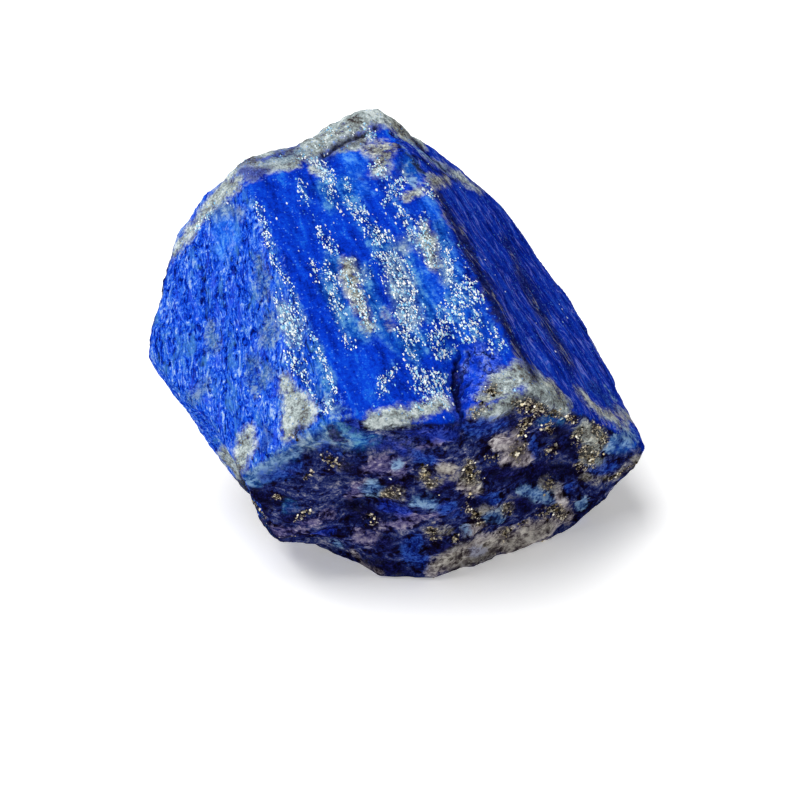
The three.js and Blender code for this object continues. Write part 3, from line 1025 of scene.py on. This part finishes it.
# Colours of what is fine or faint.
tints = {
    "vein": (136, 144, 232),
    "grey vein": (150, 150, 150),
    # painted shade in the fine cracks of the fan
    "crease": (8, 18, 100),
    # painted shade at the bottom of the cracks
    "crackShade": (6, 10, 46),
    "milky": (72, 132, 190),
    "bright": (54, 84, 226),
    # painted faint glints, light specks in the colour
    "faint glint": (92, 156, 242),
    # painted glints: light flecks in the colour of the stone, standing for light off its facets
    "shining": [(0, (52, 132, 214)), (0.35, (150, 208, 240)), (0.6, (238, 250, 252))],
}

# Noises along a grain: the length and width of their features in mm, their detail, and how coarse,
# how curled and how far shifted they are.
noises = {
    "dust": ("layered", 0.24, 0.24, 2),
    "fine": ("layered", 0.7, 0.5, 4, 0.65),
    "coarse": ("layered", 2.4, 1.8, 4, 0.6, 0, 31),
    "banded": ("banded", 4.5, 1.4, 5, 0.68, 0.5),
    "fibrous": ("fibrous", 2.3, 0.85, 3, 0.66, 1.8),
    "folded": ("folded", 3.6, 1.3, 5, 0.7, 0.8),
    "layered": ("layered", 2.6, 1.6, 5, 0.7, 0.4),
    "wide banded": ("banded", 20, 3.5, 3, 0.6, 0, 7),
    "wide fibrous": ("fibrous", 5, 2, 4, 0.6, 0, 7),
    "wide folded": ("folded", 9, 3, 3, 0.6, 1, 7),
    "wide layered": ("layered", 7, 3, 3, 0.6, 0, 7),
    "milk": ("fibrous", 3.5, 1.6, 3, 0.6, 0.5, 19),
    "clumps": ("banded", 1.5, 0.7, 2, 0.6, 0, 13),
}
crystalSizes = {"crystals": 0.5, "lumps": 1.3}  # mm

# Mixes of these, and how much of each is in them.
mixes = {
    "mottled": {"coarse": 0.8, "fine": 0.8, "dust": 0.6, "crystals": 0.14, "lumps": 0.08},
    "streaky": {"banded": 1.1, "coarse": 0.5, "fine": 0.6, "dust": 0.2},
    "broken": {"coarse": 0.6, "layered": 0.7, "fine": 0.7, "crystals": 0.16, "lumps": 0.16},
    "cloudy": {
        "coarse": 1.0, "wide banded": 0.4, "fine": 0.7, "dust": 0.6, "crystals": 0.14, "lumps": 0.08,
    },
    "grainy": {"fine": 1.1, "dust": 0.9},
}

# The look of each kind of break: how much its own noise and its crystals count in its colour, and how
# tall its grain is, in mm.
breakLooks = {
    "banded": (0.8, 0.05, 0.08),
    "fibrous": (1.6, 0.14, 0.2),
    "folded": (0.9, 0.04, 0.12),
    "layered": (1.1, 0.14, 0.25),
}

# How each kind of patch lies over the rest: the mix that its colours follow, how torn and how crisp
# its edge is, and how strong it is.
overlays = {
    "sparkling": ("streaky", 1.4, 1.0, 0.5),
    "azure": ("streaky", 1.2, 0.9, 0.85),
    "teal": ("streaky", 1.2, 0.9, 0.85),
    # the glint patches lay painted shade between the glints over the stone's own blue
    "glint": ("streaky", 1.4, 1.2, 0.7),
    "haze": ("streaky", 1.2, 1.0, 0.8),
    "wrinkled": ("mottled", 1.0, 1.5, 0.9),
    "rock": ("cloudy", 1.2, 1.4, 1.0),
    "dusty": ("mottled", 1.6, 1.2, 0.7),
    "ashen": ("broken", 1.2, 2.2, 0.92),
    "mauve": ("broken", 1.7, 2.2, 0.9),
    "pale": ("broken", 1.6, 2.0, 0.85),
    "blue": ("mottled", 1.6, 2.0, 0.85),
    "navy": ("mottled", 1.8, 1.8, 0.8),
    "dark": ("mottled", 2.0, 2.4, 0.92),
    "warm": ("cloudy", 1.6, 1.4, 0.5),
    "bronze": ("mottled", 1.6, 1.2, 0.75),
    "crust": ("grainy", 2.4, 3.0, 0.85),  # around the pyrite
}

finish = {
    "tone": {"wide": 0.6, "fine": 0.4, "dust": 0.35},  # what else counts in the colour of a break
    "break edge": (0.8, 3.0),  # how torn and how crisp it is
    # length and width in mm of the cells that these lines run around, and how thick they are in cells
    "veins": (8, 1.4, 0.06),
    "creases": (1.9, 1.1, 0.11),
    "vein strength": 0.5,
    # where the milk of the grained flank starts and ends, and the strength it gives to a colour
    "milky": (0.54, 0.7, 0, 0.6),
    "bright": (0.46, 0.3, 0, 0.6),
    "specks": (0.34, 0.2, 0.16, 0.5),  # mm, their share, their further share on the flank, strength
    "shining": (0.4, (0.3, 0.6, 0.25, 0.9)),  # mm, and how the clumps of noise gather them
    "crack shade strength": 0.9,
    "roughness": (0.5, 0.8),  # of the blue stone and of the grey rock
    "gloss": 0.0,  # the broken faces are matt, and the grains shine
    "bumps": {"dust": 0.06, "fine": 0.16},  # height in mm
}


def stoneNoises(tree, position):
    made = {name: grain(tree, position, *settings) for name, settings in noises.items()}
    for name, size in crystalSizes.items():
        made[name] = flecks(tree, position, size, 0.0)["Shade"]
    parts = dict(mixes)
    wide, fine, dust = finish["tone"].values()
    for kind, (own, crystals, _) in breakLooks.items():
        others = {"wide " + kind: wide, "fine": fine, "dust": dust, "crystals": crystals}
        parts["tone of " + kind] = {kind: own} | others
    for name, shares in parts.items():
        made[name] = blend(tree, *((made[part], share) for part, share in shares.items()))
    return made


def breakTones(tree, made, veins):
    tones = {kind: ramp(tree, made["tone of " + kind], palette[kind]) for kind in breakLooks}
    strength = times(tree, veins, finish["vein strength"])
    tones["folded"] = mixed(tree, strength, tones["folded"], linear(*tints["vein"]))
    for name in ("milky", "bright"):
        share = spread(tree, made["milk"], *finish[name])
        tones["fibrous"] = mixed(tree, share, tones["fibrous"], linear(*tints[name]))
    return tones


def breaksJoined(tree, made, tones):
    # the colour and the height of the grain over all the breaks, as the mesh says which is where
    colour, height = tones["banded"], times(tree, made["banded"], breakLooks["banded"][2])
    for kind in ("fibrous", "folded", "layered"):
        share = ragged(tree, mask(tree, kind), made["mottled"], *finish["break edge"])
        colour = mixed(tree, share, colour, tones[kind])
        height = between(tree, share, height, times(tree, made[kind], breakLooks[kind][2]))
    return colour, height


def overlaid(tree, made, colour):
    shares = {}
    for kind, (mix, tear, crispness, most) in overlays.items():
        tearing = made["streaky" if mix == "streaky" else "broken"]
        torn = ragged(tree, mask(tree, "pyrite" if kind == "crust" else kind), tearing, tear, crispness)
        shares[kind] = times(tree, torn, most)
        colour = mixed(tree, shares[kind], colour, ramp(tree, made[mix], palette[kind]))
    return colour, shares


def withFlecks(tree, position, made, colour):
    # painted faint glints on all but the layered breaks, and painted shining glints among the glint grains
    size, start, more, strength = finish["specks"]
    specks = flecks(tree, position, size, maths(tree, "MULTIPLY_ADD", mask(tree, "fibrous"), more, start))
    upper = maths(tree, "SUBTRACT", 1.0, mask(tree, "layered"))
    faint = times(tree, specks["Mask"], times(tree, upper, strength))
    colour = mixed(tree, faint, colour, linear(*tints["faint glint"]))
    # painted glints, light flecks in the colour where the glint patches are
    size, gathering = finish["shining"]
    held = times(tree, mask(tree, "glint"), spread(tree, made["clumps"], *gathering))
    shining = flecks(tree, position, size, held)
    return mixed(tree, shining["Mask"], colour, ramp(tree, shining["Shade"], tints["shining"]))


def stoneMaterial():
    material, tree, shader, position = newMaterial("lapis lazuli")
    made = stoneNoises(tree, position)
    veins = threads(tree, position, "folded", *finish["veins"], made["folded"])
    creases = threads(tree, position, "folded", *finish["creases"], made["coarse"])
    colour, height = breaksJoined(tree, made, breakTones(tree, made, veins))
    colour, shares = overlaid(tree, made, colour)
    # grey veins over the bronze band, and painted shade in the fine cracks of the fan
    for name, lines, kind in (("grey vein", veins, "bronze"), ("crease", creases, "wrinkled")):
        colour = mixed(tree, times(tree, lines, shares[kind]), colour, linear(*tints[name]))
    colour = withFlecks(tree, position, made, colour)
    # painted shade darkens the cracks, over their carved grooves
    inCrackShade = times(tree, mask(tree, "crackShade"), finish["crack shade strength"])
    for name, reach in finish["bumps"].items():
        height = maths(tree, "MULTIPLY_ADD", made[name], reach, height)
    feed(tree, shader, {
        "Base Color": mixed(tree, inCrackShade, colour, linear(*tints["crackShade"])),
        "Roughness": between(tree, shares["rock"], *finish["roughness"]),
        "Specular IOR Level": finish["gloss"],
        "Normal": addNode(tree, "Bump", {"Strength": 1.0, "Distance": mm, "Height": height}).outputs[0],
    })
    return material


# Grains: small crystals that sit in the surface, joined in one mesh for each mineral.

# The glints are flakes of white calcite whose white colour also paints the glints of light off the stone's
# facets.
glints = {
    "piece": "calcite_glints",
    "tries": 26000,
    "apart": 0.29,  # mm
    "seed": 3,
    "elsewhere": (0.0006, 0.00006),  # how dense they lie beside the patches: on banded breaks, on all
    "clumps": (1.1, 0.5, 22),  # the length and width in mm and the seed of the noise that gathers them
    "gathering": (2.3, 0.42),  # its strength and level
    "length": (0.17, 0.62),  # mm, along the grain
    "width": (0.1, 0.31),
    "corners": 5,
    "corner wander": 0.3,  # the share of the way to the next corner
    "corner reach": (0.55, 1.25),
    "proud": (0.03, 0.1),  # mm above the surface
    "root": 0.15,  # mm below it
    "root width": 1.15,  # as a share of the top's
    "tilt": 24,  # degrees
    # each flake's tint, from cyan to white, is partly a painted glint: how brightly it seems to catch the
    # light
    "tints": [(0, (96, 176, 232)), (0.22, (158, 218, 244)), (0.45, (226, 244, 248)), (1, (255, 255, 252))],
    # the noise and colour below paint shade unevenly over the glints
    "dust": ("banded", 0.3, 0.2, 3),  # a noise: its grain, length and width in mm, and detail
    "dusty": (0.55, 0.75, 0, 0.5),  # where it starts and ends, and the strength it gives
    "painted shade colour": (90, 130, 210),
    "shine": {"Roughness": 0.2},
}

pyrite = {
    "piece": "pyrite_grains",
    "tries": 12000,
    "apart": 0.18,  # mm
    "seed": 8,
    "elsewhere": 0.0015,  # how dense they lie beside the patches, on layered breaks
    # the noises that gather them: the strength, the size in mm and the seed
    "clumps": [(2.5, 1.1, 31), (2, 0.4, 32)],
    "clump level": 0.25,
    "size": (0.11, 0.4),  # mm
    "squeeze": (0.6, 1.3),
    "sunk": 0.6,  # the share of a grain that is below the surface
    # each grain's tint runs from near black to near white: painted shade and painted sparkle over the pale
    # brass of pyrite
    "tints": [(0, (16, 12, 10)), (0.42, (52, 42, 32)), (0.56, (206, 190, 150)), (1, (255, 252, 238))],
    # the noise and colour below paint shade unevenly over the pyrite
    "dust": ("layered", 0.25, 0.25, 3),
    "dusty": (0.5, 0.7, 0, 0.6),
    "painted shade colour": (70, 52, 34),
    "roughness": (0.3, 0.7, 0.22, 0.5),  # where it starts and ends in the dust, and its range
    "shine": {"Metallic": 1.0},
}


def scatter(mesh, density, mineral, clumps):
    # random places on a mesh and their normals, out of the mineral's tries: more where density is
    # higher, only where clumps, worked out from the place, is high, and one in a cell as wide as apart
    dice = np.random.default_rng(mineral["seed"])
    tries, apart = mineral["tries"], mineral["apart"]
    mesh.calc_loop_triangles()
    corners = valuesOf(mesh.loop_triangles, "vertices", 3, int)
    points, normals = pointsOf(mesh), normalsOf(mesh)
    a, b, c = (points[corners[:, i]] for i in range(3))
    weight = np.linalg.norm(np.cross(b - a, c - a), axis=1) * density[corners].mean(axis=1)
    chosen = dice.choice(len(corners), tries, p=weight / weight.sum())
    share = dice.dirichlet((1, 1, 1), tries)[:, :, None]
    places = (points[corners[chosen]] * share).sum(axis=1)
    kept = np.flatnonzero(dice.random(tries) < clumps(places))
    kept = kept[np.unique(np.floor(places[kept] / apart), axis=0, return_index=True)[1]]
    facing = (normals[corners[chosen[kept]]] * share[kept]).sum(axis=1)
    return places[kept], facing / np.linalg.norm(facing, axis=1)[:, None], dice


def joinedGrains(name, rings, shades):
    # rings is (grain, ring, corner, xyz): each grain is a closed stack of rings of corners
    count, levels, corners = rings.shape[:3]
    each = levels * corners
    faces = []
    for first in range(0, count * each, each):
        faces.append([first + i for i in reversed(range(corners))])
        faces.append([first + each - corners + i for i in range(corners)])
        for level in range(first, first + each - corners, corners):
            for i in range(corners):
                after = (i + 1) % corners
                faces.append([level + i, level + after, level + corners + after, level + corners + i])
    rings[..., 2] = np.maximum(rings[..., 2], 0)  # none reaches below the flat spot
    mesh = bpy.data.meshes.new(name)
    mesh.from_pydata((rings.reshape(-1, 3) * mm).tolist(), [], faces)
    attribute = mesh.attributes.new("shade", "FLOAT", "POINT")
    attribute.data.foreach_set("value", np.repeat(shades, each).astype(np.float32))
    mesh.update()
    print(name + ":", count, "grains")
    return addToScene(name, mesh)


def crossed(normals, direction):
    across = np.cross(normals, direction)
    across /= np.linalg.norm(across, axis=1)[:, None]
    return across, np.cross(across, normals)


def makeGlints(surface):
    onBanded, onAll = glints["elsewhere"]
    banded = breakShares(pointsOf(surface))["banded"]
    marked = valuesOf(surface.attributes["glint"].data, "value")[:, 0]
    density = marked**2 + onBanded * banded + onAll

    def clumps(places):
        strength, level = glints["gathering"]
        return np.clip(strength * grainNoise(places, "banded", *glints["clumps"]) + level, 0, 1)

    places, normals, dice = scatter(surface, density, glints, clumps)
    count, corners = len(places), glints["corners"]
    across, along = crossed(normals, directionOf(*grains["banded"]))
    lean = np.tan(radians(glints["tilt"])) * dice.uniform(-1, 1, (2, count, 1))
    up = normals + lean[0] * along + lean[1] * across
    up /= np.linalg.norm(up, axis=1)[:, None]
    across, along = crossed(up, directionOf(*grains["banded"]))
    wander = glints["corner wander"]
    angle = (np.arange(corners) + dice.uniform(-wander, wander, (count, corners))) * 2 * pi / corners
    size = dice.uniform(*glints["corner reach"], (count, corners, 1)) / 2
    grown = dice.uniform(0, 1, (count, 1, 1)) ** 2  # few are large
    length, width = (low + (high - low) * grown for low, high in (glints["length"], glints["width"]))
    outline = length * np.cos(angle)[..., None] * along[:, None]
    outline = size * (outline + width * np.sin(angle)[..., None] * across[:, None])
    proud = dice.uniform(*glints["proud"], (count, 1, 1))
    top = places[:, None] + outline + proud * normals[:, None]
    bottom = places[:, None] + glints["root width"] * outline - glints["root"] * normals[:, None]
    return joinedGrains(glints["piece"], np.stack([bottom, top], 1), dice.uniform(0, 1, count))


def makePyrite(surface):
    layered = breakShares(pointsOf(surface))["layered"]
    marked = valuesOf(surface.attributes["pyrite"].data, "value")[:, 0]
    density = marked**2 + pyrite["elsewhere"] * layered

    def clumps(places):
        level = pyrite["clump level"]
        for strength, size, seed in pyrite["clumps"]:
            level = level + strength * noiseAt(places, size, seed)
        return np.clip(level, 0, 1)

    places, normals, dice = scatter(surface, density, pyrite, clumps)
    count = len(places)
    low, high = pyrite["size"]
    size = low + (high - low) * dice.uniform(0, 1, (count, 1, 1, 1)) ** 2
    square = ((-1, -1), (1, -1), (1, 1), (-1, 1))
    cube = np.array([[(x, y, z) for x, y in square] for z in (-1, 1)]) / 2
    turns = np.linalg.qr(dice.normal(size=(count, 3, 3)))[0]
    turns *= np.sign(np.linalg.det(turns))[:, None, None]
    squeezed = cube * dice.uniform(*pyrite["squeeze"], (count, 1, 1, 3)) * size
    turned = np.einsum("nij,nrcj->nrci", turns, squeezed)
    middle = places - normals * (pyrite["sunk"] - 0.5) * size[:, 0, 0]
    return joinedGrains(pyrite["piece"], turned + middle[:, None, None], dice.uniform(0, 1, count))


def mineralMaterial(name, mineral):
    # each grain has its own tint, whose light and dark ends stand in for painted glints and painted shade,
    # and painted shade lies on it unevenly where a noise is high
    material, tree, shader, position = newMaterial(name)
    tint = ramp(tree, mask(tree, "shade"), mineral["tints"])
    dust = grain(tree, position, *mineral["dust"])
    # the share of painted shade on each grain
    share = spread(tree, dust, *mineral["dusty"])
    feed(tree, shader, {"Base Color": mixed(tree, share, tint, linear(*mineral["painted shade colour"]))})
    feed(tree, shader, mineral["shine"])
    if "roughness" in mineral:
        feed(tree, shader, {"Roughness": spread(tree, dust, *mineral["roughness"])})
    return material


stonePiece = makeStone()
glintPiece = makeGlints(stonePiece.data)
pyritePiece = makePyrite(stonePiece.data)
stonePiece.data.materials.clear()
for piece, material in (
    (stonePiece, stoneMaterial()),
    (glintPiece, mineralMaterial("calcite glint", glints)),
    (pyritePiece, mineralMaterial("pyrite", pyrite)),
):
    piece.data.materials.append(material)
    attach(piece, "root")
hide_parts("lapis_stone")
print("materials are on")
